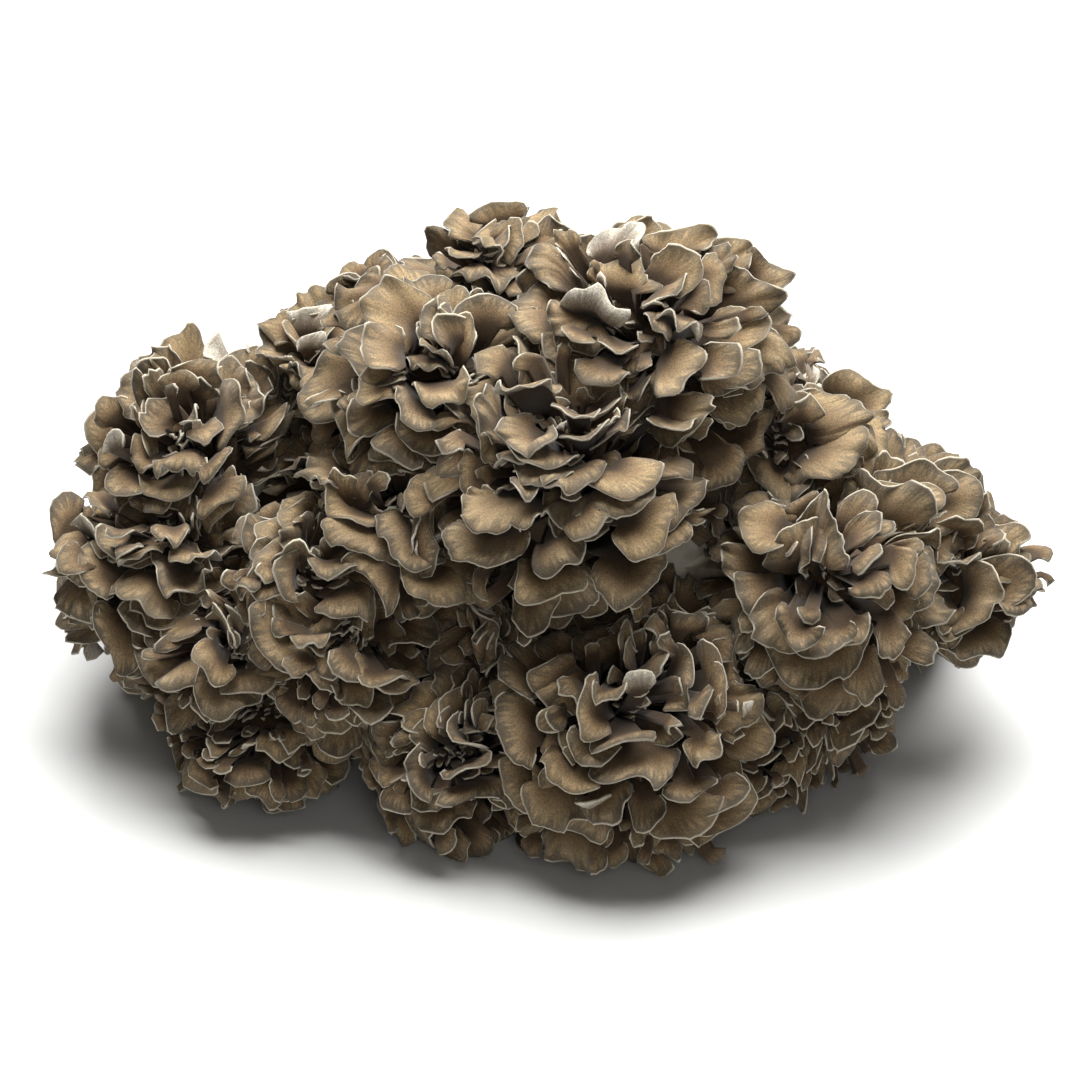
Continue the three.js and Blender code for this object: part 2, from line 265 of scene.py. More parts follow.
def make_skin():
    """Brown suede skin on top, cream underneath, with a pale margin."""
    material, tree, shader = new_material("frond_skin")
    growth = node(tree, "ShaderNodeAttribute", attribute_name="growth").outputs["Vector"]
    edge = node(tree, "ShaderNodeAttribute", attribute_name="edge").outputs["Fac"]
    split = node(tree, "ShaderNodeSeparateXYZ", {"Vector": growth})
    across, along, tint = split.outputs
    under = step(tree, edge, 0.05, -0.05)
    edge = sums(tree, "ABSOLUTE", edge, 0.0)
    grain, mottle = grain_in(tree, SKIN_GRAIN, SKIN_MOTTLE)

    streak_place = node(
        tree,
        "ShaderNodeCombineXYZ",
        {
            "X": sums(tree, "MULTIPLY", across, STREAKS_ACROSS),
            "Y": sums(tree, "MULTIPLY", along, STREAKS_ALONG),
            "Z": sums(tree, "MULTIPLY", tint, STREAKS_APART),
        },
    ).outputs["Vector"]
    streak_noise = {"Vector": streak_place, "Scale": 1.0, "Detail": 4.0, "Roughness": 0.5}
    streaks = node(tree, "ShaderNodeTexNoise", streak_noise).outputs["Fac"]

    skin = blended(tree, step(tree, mottle, *NOISE_RANGE), TAN_SHADE, TAN)
    skin = blended(tree, step(tree, tint, *GOLDEN), skin, GOLD)
    skin = blended(tree, step(tree, streaks, *STREAKED), skin, UMBER)
    fingers = step(tree, streaks, *FINGERED, SHORTEST_FINGER, LONGEST_FINGER)
    band = sums(tree, "DIVIDE", edge, fingers)
    depth = step(tree, tint, *BAND_DEPTH)
    skin = blended(tree, step(tree, band, *BAND_FADE, depth), skin, BAND)
    cream = blended(tree, step(tree, streaks, *RIBBED), CREAM_SHADE, CREAM)
    face = blended(tree, under, skin, cream)
    ragged = sums(tree, "ADD", edge, sums(tree, "MULTIPLY", grain, RIM_RAGGED))
    rim = step(tree, ragged, RIM_FROM, RIM_TO)
    face = blended(tree, rim, face, MARGIN)
    # painted shade: the frond darkens inwards and is dark at the root, partly its real darker brown and
    # partly the shade of the fronds over it and of the crevices
    face = blended(tree, step(tree, along, *INNER_SHADE_STEP), face, INNER_SHADE_AND_BROWN)
    face = blended(tree, step(tree, along, *ROOT_SHADE_STEP), face, ROOT_BROWN_AND_SHADE)
    speckle = step(tree, grain, *NOISE_RANGE, *SPECKLE)
    face = blended(tree, 1.0, face, speckle, blend="MULTIPLY")
    tree.links.new(face, shader.inputs["Base Color"])
    tree.links.new(step(tree, mottle, *NOISE_RANGE, *SKIN_ROUGHNESS), shader.inputs["Roughness"])

    relief = sums(tree, "ADD", sums(tree, "MULTIPLY", grain, 0.5), sums(tree, "MULTIPLY", streaks, 0.2))
    bump = node(tree, "ShaderNodeBump", {"Height": relief, "Strength": 0.5, "Distance": 0.6 * MM})
    tree.links.new(bump.outputs["Normal"], shader.inputs["Normal"])
    shader.inputs["Sheen Weight"].default_value = 0.12
    shader.inputs["Sheen Roughness"].default_value = 0.6
    shader.inputs["Specular IOR Level"].default_value = 0.3
    return material


SKIN = make_skin()
print(SKIN.name, len(SKIN.node_tree.nodes), "nodes")

# %% Flesh of the stem, and the floor
FLESH = colour(205, 197, 180)
FLESH_SHADE = colour(158, 145, 120)
FLESH_GRAIN, FLESH_MOTTLE = 900.0, 45.0
STAINED, FLESH_ROUGHNESS = (0.4, 0.7), (0.65, 0.85)
FLOOR_COLOUR = (0.62, 0.62, 0.61, 1)


def make_flesh():
    """Pale matt flesh with slow stains."""
    material, tree, shader = new_material("stem_flesh")
    grain, mottle = grain_in(tree, FLESH_GRAIN, FLESH_MOTTLE)
    face = blended(tree, step(tree, mottle, *STAINED), FLESH, FLESH_SHADE)
    tree.links.new(face, shader.inputs["Base Color"])
    tree.links.new(step(tree, grain, *NOISE_RANGE, *FLESH_ROUGHNESS), shader.inputs["Roughness"])
    bump = node(tree, "ShaderNodeBump", {"Height": grain, "Strength": 0.4, "Distance": 0.5 * MM})
    tree.links.new(bump.outputs["Normal"], shader.inputs["Normal"])
    return material


flesh = make_flesh()
floor_material, _, floor_shader = new_material("pale_floor")
floor_shader.inputs["Base Color"].default_value = FLOOR_COLOUR
floor_shader.inputs["Roughness"].default_value = 0.9
floor.data.materials.append(floor_material)
print(flesh.name, "and", floor_material.name)

# %% [markdown]
# A rosette is a dome of fronds round an axis. The table follows the centre and reach of each rosette in
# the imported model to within 15 millimetres, and adds where its fronds open to, how wide they are and how
# far apart their margins lie: the low rosettes are tightly ruffled and the crown's are broad. Five
# rosettes are filled out by a second heart, in a second row of the same name. The last three rows are
# such hearts, which close gaps at the back. Where two rosettes meet, each stays behind a plane between
# them, or nearly so, since fronds of one mass press into each other a little.

# %% Where the rosettes are
# name, mass that it belongs to, centre (mm), lean and heading of the axis (degrees), reach,
# frond width, margin spacing (mm)
ROSETTES = (
    ("crown_back", "crown", (-12, 46, 158), 14, -80, 46, 34, 12),
    ("crown_right", "crown", (41, -4, 159), 31, -118, 66, 40, 12),
    ("crown_left", "crown", (-42, -4, 146), 36, -60, 58, 40, 12),
    ("crown_front", "crown", (12, -46, 128), 14, -96, 72, 36, 10),
    ("crown_skirt", "crown", (-52, -32, 94), 50, -118, 62, 40, 8),
    ("left_shoulder", "crown", (-84, 38, 120), 22, -150, 43, 36, 13),
    ("left_shoulder", "crown", (-98, 16, 84), 30, -110, 42, 30, 11),
    ("left_back", "crown", (-58, 60, 130), 30, 125, 40, 34, 13),
    ("left_upper", "left", (-138, 20, 96), 42, -115, 56, 34, 9.5),
    ("left_outer", "left", (-150, -16, 66), 26, -104, 54, 29, 8),
    ("left_front", "left", (-90, -50, 84), 54, -92, 47, 26, 8),
    ("left_front", "left", (-84, -62, 66), 60, -72, 50, 26, 8),
    ("left_lower", "left", (-122, -50, 56), 64, -80, 50, 25, 7.5),
    ("right_front", "right", (114, -58, 88), 47, -91, 58, 36, 12),
    ("right_top", "right", (100, 0, 108), 44, -91, 50, 38, 12),
    ("right_upper", "right", (140, -26, 94), 43, -105, 42, 36, 12),
    ("right_rear", "right", (142, 14, 78), 25, -85, 38, 27, 10),
    ("right_outer", "right", (165, -28, 75), 50, -54, 40, 30, 10),
    ("bottom_upper", "foot", (-18, -58, 60), 66, -100, 48, 27, 8.5),
    ("bottom_front", "foot", (34, -84, 42), 52, -96, 70, 29, 8.5),
    ("bottom_left", "foot", (-33, -88, 31), 54, -100, 47, 23, 7.5),
    ("bottom_right", "foot", (84, -80, 28), 60, -80, 36, 20, 8),
    ("right_lower", "foot", (108, -58, 44), 60, -70, 45, 20, 8),
    ("foot_left", "side", (-112, -64, 28), 52, -98, 44, 19, 8),
    ("foot_side", "side", (-144, 2, 34), 78, -172, 40, 26, 10),
    ("side_left", "side", (-136, 54, 50), 48, 148, 50, 32, 12),
    ("side_right", "back", (138, 28, 38), 54, 20, 46, 32, 12),
    ("back_upper", "back", (14, 82, 112), 34, 85, 52, 34, 12),
    ("back_left", "back", (-74, 84, 76), 44, 112, 56, 34, 12),
    ("back_right", "back", (82, 62, 72), 40, 58, 58, 34, 12),
    ("back_lower", "back", (10, 104, 50), 52, 90, 46, 32, 11.5),
    ("back_foot", "back", (88, 84, 38), 50, 60, 46, 30, 11),
    ("back_upper", "back", (58, 44, 126), 40, 70, 37, 32, 12),
    ("back_left", "back", (-122, 56, 90), 42, 120, 35, 30, 12),
    ("back_right", "back", (108, 36, 102), 42, 60, 35, 30, 12),
)
# core and roots, as shares of the reach; room above the floor (mm); how far a frond may press past
# a plane (mm), and the share of it towards another mass; how near a plane comes to either centre
CORE_SHARE = 0.48
ROOT_SHARE = 0.38
FLOOR_GAP = 1.5
MOST_PRESS = 10.0
APART = 0.2
NEAREST_PLANE = 0.35


class Rosette:
    """A rosette's place, its three directions, and the planes that it stays behind."""

    def __init__(self, name, mass, centre, lean, heading, reach, width, spacing):
        tip, turn = math.radians(lean), math.radians(heading)
        self.name, self.mass = name, mass
        self.centre = np.array(centre, float)
        flat = np.array((math.cos(turn), math.sin(turn), 0.0))
        self.axis = np.array((math.sin(tip) * flat[0], math.sin(tip) * flat[1], math.cos(tip)))
        self.side = np.array((-flat[1], flat[0], 0.0))
        self.brow = np.cross(self.axis, self.side)
        self.reach, self.width, self.spacing = reach, width, spacing

    def find_walls(self, others):
        """One plane towards each neighbour, where their reaches meet, and one above the floor."""
        normals, offsets, press = [(0.0, 0.0, -1.0)], [-FLOOR_GAP], [0.0]
        for other in others:
            away = other.centre - self.centre
            distance = np.linalg.norm(away)
            if other is self or distance > self.reach + other.reach:
                continue
            meeting = (distance**2 + self.reach**2 - other.reach**2) / (2 * distance)
            share = min(max(meeting, NEAREST_PLANE * distance), (1 - NEAREST_PLANE) * distance)
            normals.append(away / distance)
            offsets.append(float(away @ self.centre) / distance + share)
            press.append(1.0 if other.mass == self.mass else APART)
        self.normals, self.offsets, self.press = np.array(normals), np.array(offsets), np.array(press)

    def room(self, points):
        """How far each point is inside the nearest plane (mm), with what it may press past it."""
        return (self.offsets + MOST_PRESS * self.press - points @ self.normals.T).min(axis=-1)


rosettes = [Rosette(*row) for row in ROSETTES]
for rosette in rosettes:
    rosette.find_walls(rosettes)
print(len(rosettes), "rosette hearts")

# %% [markdown]
# Fronds that grow side by side press their waves into each other. So the large waves are not drawn for
# each frond: one slow drift of space, a sum of a few waves that run in random directions, moves all of
# them together. Neighbours stay nested and seldom cut through each other, and no rosette stays round.

# %% The drift that neighbours share
# wavelength and amount (mm)
DRIFT = ((62.0, 3.4), (44.0, 2.8), (31.0, 2.2), (21.0, 1.3), (14.0, 0.7))
# how much slower the fronds' sway is than the drift
SLOWER = 1.3
WHOLE_TURN = 6.28
DRIFT_SEED = 5


def make_drift(draw):
    """Random waves: direction of the push, wave vector, phase. Two for each wavelength."""
    waves = []
    for length, amount in DRIFT * 2:
        push, run = (Vector([draw.gauss(0, 1) for _ in range(3)]).normalized() for _ in range(2))
        wave = 2 * math.pi / length * np.array(run)
        waves.append((amount * np.array(push), wave, draw.uniform(0, WHOLE_TURN)))
    return waves


WAVES = make_drift(random.Random(DRIFT_SEED))
print(len(WAVES), "waves")


def unit(vector):
    """The vector at length 1."""
    return vector / np.linalg.norm(vector)


def swayed(point):
    """A slowly changing direction, of a length near 1."""
    return sum(np.sin(point @ run / SLOWER + 2 * phase) * unit(push) for push, run, phase in WAVES[:3])


def drifted(points):
    """Points moved by the shared drift."""
    return points + sum(np.sin(points @ run + phase)[..., None] * push for push, run, phase in WAVES)


# %% [markdown]
# A frond is a short stalk that opens into a thin fan, whose rays run out from the end of the stalk. The
# whole of it bends outwards on an arc. So its middle surface is a formula of two numbers: across, from
# -1 to 1, and along, from the root to the margin. On top of that come the things that make it a
# maitake's: a rounded and lobed outline, pleats that run out from the stalk, one side lifted over the
# neighbour, and a frill and a fine crinkle near the margin. Each of these is multiplied by how far the
# fan has opened, raised to a power: the higher the power, the nearer the margin it stays. Modelling one
# frond by hand and copying it would repeat the same lobes hundreds of times.

# %% The middle surface of one frond
# where the stalk ends, as a share of the way from root to margin
STALK_END = 0.3
# how much shorter the outermost rays are, and how suddenly
SIDE_CUT, SIDE_POWER = 0.42, 4
# half width of the stalk, as a share of the fan, and least radius of the bow across a frond, as a share
# of the rosette's reach
NECK, LEAST_BOW = 0.4, 0.6
# the stalk counts as this far from any edge (mm), so it takes no colour from the margin
STALK_INSIDE = 40


def smooth_random(draw, count, spread):
    """Random values along a line, each drawn a little towards its neighbours."""
    raw = np.array([draw.uniform(-1, 1) for _ in range(count + 2)])
    return spread * (raw[:-2] + raw[1:-1] + raw[2:]) / 2


def frond_surface(rosette, frond, across, along):
    """Points of the middle surface, rows along by columns across, and their distances to the edge."""
    across, along = np.meshgrid(across, along)
    length, fan, phase = frond["length"], frond["fan"], frond["phase"]
    stalk = np.minimum(along / STALK_END, 1)
    opening = np.maximum((along - STALK_END) / (1 - STALK_END), 0)
    lobes = frond["lobe"] * np.sin(frond["lobes"] * math.pi * across + phase)
    outline = 1 - SIDE_CUT * np.abs(across) ** SIDE_POWER + lobes + frond["notch"]
    radius = opening * fan * outline
    ray = across * frond["spread"]
    ahead = stalk * (length - fan) + radius * np.cos(ray + frond["yaw"])
    neck = NECK * fan * (1 - opening)
    sideways = radius * np.sin(ray + frond["yaw"]) + across * neck

    root_tilt, tip_tilt = frond["root_tilt"], frond["tip_tilt"]
    bend = root_tilt + (tip_tilt - root_tilt) * ahead / length
    arc = length / (tip_tilt - root_tilt)
    root = rosette.reach * ROOT_SHARE
    rise = root * math.cos(root_tilt) + arc * (np.sin(bend) - math.sin(root_tilt))
    out = root * math.sin(root_tilt) + arc * (math.cos(root_tilt) - np.cos(bend))
    lift = (
        frond["roll"] * sideways
        - frond["droop"] * sideways**2 / fan
        + frond["ruffle"] * opening**2 * np.sin(frond["waves"] * math.pi * across + phase)
        + frond["pleat"] * opening * np.sin(frond["pleats"] * math.pi * across + phase)
        + frond["frill"] * opening**4 * np.sin(frond["frills"] * math.pi * across - phase)
        + frond["crinkle"] * opening**6
        - frond["lip"] * opening**8
    )
    bow = np.maximum(np.abs(out), LEAST_BOW * rosette.reach)
    out = out - bow * (1 - np.cos(sideways / bow)) - lift * np.cos(bend)
    points = (
        rosette.centre
        + frond["shift"]
        + (rise + lift * np.sin(bend))[..., None] * frond["up"]
        + out[..., None] * frond["outward"]
        + (bow * np.sin(sideways / bow))[..., None] * frond["aside"]
    )
    to_margin = (1 - opening) * fan * outline + STALK_INSIDE * (1 - stalk)
    to_side = (1 - np.abs(across)) * (radius * frond["spread"] + neck) + STALK_INSIDE * (1 - stalk)
    return points, np.minimum(to_margin, to_side)


print("the stalk takes", STALK_END, "of the way to the margin")

# %% [markdown]
# Fronds follow one another at the golden angle, as leaves do, from short buds at the heart to broad
# fans that droop below the centre, so they overlap like the scales of a pine cone and never line up.
# Every frond bends away from a direction between its rosette's axis and straight up, so the tiers lie
# nearly level on the low rosettes too. Between the broad fans grow narrow tongues, and deep between
# them a second, shorter set that closes the crevices. Where a neighbouring rosette is in the way, a
# frond is tried shorter and more upright, and left out if it still has no room.

# %% The measures of one frond
# tilts from the rosette's axis: of the first and the last frond, the least, and where the heart ends
FIRST_TILT, LAST_TILT = math.radians(4), math.radians(122)
LEAST_TILT, HEART_TILT = 0.06, math.radians(30)
# how strongly the fronds bend away from straight up, and how much that sways
UPWARD, SWAY = 0.5, 0.3
# share of the fronds, half angle of the fan (radians), share of the rosette's width
TONGUES, TONGUE_SPREAD, TONGUE_SHARE = 0.2, (0.6, 1.1), (0.25, 0.5)
SMALLER, SMALLER_SHARE = 0.4, (0.45, 0.75)
SPREAD, SHARE = (1.05, 1.6), (0.75, 1.3)
# a frond's and a deep frond's share of the full length, and the longest fan as a share of a frond
LENGTH, DEEP_LENGTH, LONGEST_FAN = (0.84, 1.06), (0.55, 0.85), 0.8
# what a frond in the middle of the heart has of the outer ones' width, length, deep length and curl
BUD_WIDTH, BUD_LENGTH, BUD_DEEP, BUD_CURL = 0.3, 0.86, 0.55, 0.6
# how far the margin tilts beyond the frond, how much of that a tilted frond loses, the least of it, and
# how far it strays (radians)
FULL_CURL, CURL_LOST, LEAST_CURL, CURL_ASTRAY = math.radians(52), 0.13, 0.05, (-0.4, 0.3)
# a frond has the tilt of its place at this share of its length
TILT_REACHED = 0.31
# the width that the waves are given for, and the length of one frill (mm)
ORDINARY_WIDTH, FRILL_LENGTH = 30, (6.0, 11.0)
# roughness of the outline (share of the fan) and of the margin's height (mm)
NOTCH, CRINKLE = 0.045, 0.75
QUARTER_TURN = 1.57


def fan_length(width, spread, length):
    """How long the fan is beyond its stalk, from its width and half angle."""
    return min(width / (2 * math.sin(min(spread, QUARTER_TURN))), LONGEST_FAN * length)


def grown(least, share):
    """A value that rises with a share from its least to 1."""
    return least + (1 - least) * share


def frond_at(rosette, draw, tilt, turn, deep, columns):
    """The measures of one frond, with its own outline, pleats and curl."""
    outward = math.cos(turn) * rosette.side + math.sin(turn) * rosette.brow
    growth = math.cos(tilt) * rosette.axis + math.sin(tilt) * outward
    sway = SWAY * swayed(rosette.centre + rosette.reach * growth)
    up = unit(rosette.axis + UPWARD * np.array((0, 0, 1)) + sway)
    outward = unit(growth - (growth @ up) * up)
    aside = np.cross(up, outward)
    heart = min(1.0, tilt / HEART_TILT)
    tilt = math.acos(growth @ up)
    kind = draw.random()
    spread, share = draw.uniform(*SPREAD), draw.uniform(*SHARE)
    if kind < TONGUES or deep:
        spread, share = draw.uniform(*TONGUE_SPREAD), draw.uniform(*TONGUE_SHARE)
    elif kind < TONGUES + SMALLER:
        share = draw.uniform(*SMALLER_SHARE)
    width = rosette.width * grown(BUD_WIDTH, heart) * share
    length = rosette.reach * (1 - ROOT_SHARE) * grown(BUD_LENGTH, heart) * draw.uniform(*LENGTH)
    if deep:
        length = draw.uniform(*DEEP_LENGTH) * grown(BUD_DEEP, heart) * length
    curl = (FULL_CURL - CURL_LOST * tilt) * grown(BUD_CURL, heart)
    tip_tilt = tilt + curl + draw.uniform(*CURL_ASTRAY)
    if abs(tip_tilt - tilt) < LEAST_CURL:
        tip_tilt = tilt + LEAST_CURL
    size = width / ORDINARY_WIDTH
    return {
        "up": up,
        "outward": outward,
        "aside": aside,
        "yaw": draw.gauss(0, 0.25) * (1.6 - 0.6 * heart),
        "length": length,
        "width": width,
        "fan": fan_length(width, spread, length),
        "spread": spread,
        "root_tilt": (tilt - TILT_REACHED * tip_tilt) / (1 - TILT_REACHED),
        "tip_tilt": tip_tilt,
        "droop": draw.uniform(-0.3, 0.25),
        "roll": draw.gauss(0.05, 0.16),
        "ruffle": draw.uniform(0.2, 2.0) * size,
        "waves": draw.uniform(1.2, 3.4),
        "phase": draw.uniform(0, 2 * math.pi),
        "lobe": draw.uniform(0.01, 0.07),
        "lobes": draw.uniform(1.5, 4.0),
        "frill": draw.uniform(0.5, 1.9),
        "frills": width / draw.uniform(*FRILL_LENGTH),
        "pleat": draw.choice((0.0, 0.12, 0.4)) * size,
        "pleats": draw.uniform(4, 8),
        "lip": draw.uniform(-0.6, 1.2),
        "notch": smooth_random(draw, columns, NOTCH),
        "crinkle": smooth_random(draw, columns, CRINKLE),
        "tint": draw.random(),
        "press": draw.uniform(2.0, 14.0),
        "shift": np.zeros(3),
    }


# %% Room beside the neighbours
# the lengths that are tried, the least share of its tilt that a shorter frond keeps, and where a
# frond is measured
SHORTER = (1.0, 0.88, 0.76, 0.64, 0.52)
TILT_KEPT = 0.6
TRIED_ACROSS, TRIED_ALONG = np.array((-0.6, 0.0, 0.6)), np.array((0.7, 1.0))
SMOOTH = {"notch": 0.0, "crinkle": 0.0}


def with_room(rosette, frond):
    """The frond, shorter and more upright where it has to be, or None."""
    plain = frond | SMOOTH
    for share in SHORTER:
        shorter = {"length": frond["length"] * share}
        for tilt in ("root_tilt", "tip_tilt"):
            shorter[tilt] = frond[tilt] * grown(TILT_KEPT, share)
        points, _ = frond_surface(rosette, plain | shorter, TRIED_ACROSS, TRIED_ALONG)
        if rosette.room(points.reshape(-1, 3)).min() > 0:
            return frond | shorter | {"tip": points[1, 1]}
    return None


print(len(SHORTER), "lengths are tried")


# %% Every frond of a rosette
GOLDEN_ANGLE = math.pi * (3 - math.sqrt(5))
# how much of the dome the fronds' own areas cover, and how they crowd towards the heart
COVER, CROWDING = 0.72, 1.3
# deep fronds beside each outer one, and the share of the fronds that are buds
DEEP, BUDS = 0.5, 0.06
# how far a frond strays: in tilt, as a share of the spacing, and in turn (radians)
TILT_ASTRAY, TURN_ASTRAY = 0.5, 0.15
print(round(math.degrees(GOLDEN_ANGLE), 1), "degrees from frond to frond")


def grow_fronds(rosette, draw, mains, columns):
    """Every frond that has room in a rosette: the outer ones, and smaller ones deep between them."""
    span = math.cos(FIRST_TILT) - math.cos(LAST_TILT)
    dome = 2 * math.pi * rosette.reach**2 * span
    count = round(dome / (COVER * rosette.width * rosette.spacing))
    fronds = []
    for place in range(count + round(DEEP * count)):
        deep = place >= count
        share = draw.random() if deep else (place + 0.5) / count
        deep = deep or share < BUDS
        tilt = math.acos(math.cos(FIRST_TILT) - span * share**CROWDING)
        tilt += TILT_ASTRAY * rosette.spacing / rosette.reach * draw.uniform(-1, 1)
        turn = place * GOLDEN_ANGLE + draw.uniform(-TURN_ASTRAY, TURN_ASTRAY)
        wanted = frond_at(rosette, draw, max(tilt, LEAST_TILT), turn, deep, columns)
        frond = with_room(rosette, wanted)
        if not frond or in_hollow(frond["tip"]):
            continue
        if deep or not any(hides(frond["tip"], main) for main in mains):
            fronds.append(frond)
    return fronds


# %% [markdown]
# The broadest fans give each rosette its own face, so they are placed one by one, as they should be seen
# from the front. A row says where in the picture the middle of a fan's margin lies, which way the fan
# points there, how wide it is, and how much of it stays uncovered. The place is carried back along the
# line of sight onto the rosette's dome, so that the fan is rooted in its own heart and holds from every
# side. Most fans hang outwards like scales, a few stand up and show their pale underside, and those on
# the skyline lean away. The ordinary fronds keep clear of the part that stays uncovered.

# %% The broad fans that are placed one by one
PICTURE_STEPS = 1080
PICTURE_STEP = VIEW_WIDTH / MM / PICTURE_STEPS
RIGHT = np.array((1.0, 0.0, 0.0))
RISE = np.array((0.0, math.sin(VIEW_ELEVATION), math.cos(VIEW_ELEVATION)))
TOWARDS = np.array((0.0, -math.cos(VIEW_ELEVATION), math.sin(VIEW_ELEVATION)))
# pose: tilt of the margin (degrees), how far out on the dome the margin lies
POSES = {"hanging": (98, 0.98), "standing": (8, 0.95), "skyline": (70, 0.95)}
# the furthest that a fan is drawn out, as a share of the reach; how much a fan on the skyline keeps of
# the way it points; rounds in which the drift is undone
FURTHEST, BACKWARDS, ROUNDS = 1.12, 0.5, 20
# tilt and half angle (radians), the width that the ruffle is given for, how far it may press (mm)
FAN_TILT, FAN_SPREAD, FAN_WIDTH, FAN_PRESS = math.radians(60), (1.3, 1.6), 40, 60.0
# the uncovered part: from this far before the margin (mm), up to this share of the fan, this share of
# the width to either side, and this far above and below (mm)
MARGIN_BEYOND, MOST_UNCOVERED, HALF_COVERED, LAYER = -3, 0.7, 0.5, 16
